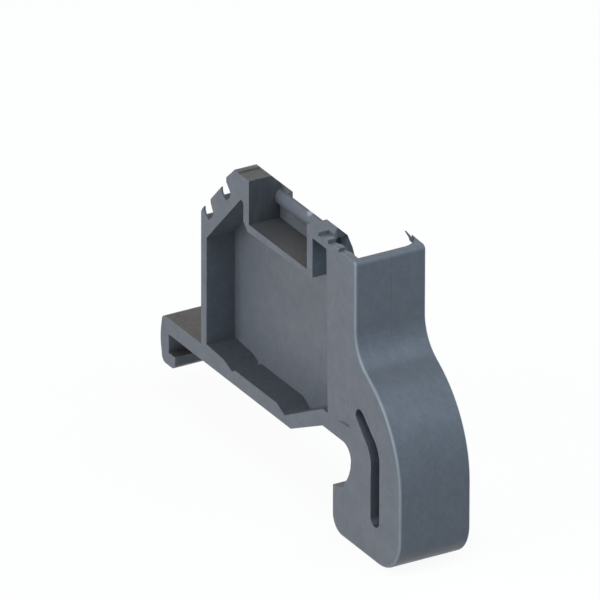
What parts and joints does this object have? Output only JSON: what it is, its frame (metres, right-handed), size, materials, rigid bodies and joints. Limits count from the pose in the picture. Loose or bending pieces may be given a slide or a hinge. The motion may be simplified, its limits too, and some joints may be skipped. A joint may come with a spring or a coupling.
{
  "type": "din rail end stop",
  "caption": "Clip-on end stop for a 35 mm rail: a walled frame with a marker recess over a rigid hook and a springy slotted jaw.",
  "frame": {"origin": "centre of the rail seat: halfway across the rail, at mid-thickness, on the face that rests on it", "axes": "+X across the rail from the rigid hook to the sprung jaw, +Y along the rail from the open front of the frame to its back, +Z away from the rail"},
  "size_m": [0.0471, 0.008, 0.0311],
  "materials": {
    "polyamide": "matte"
  },
  "bodies": {
    "root": {"end_stop": "polyamide"}
  },
  "joints": []
}
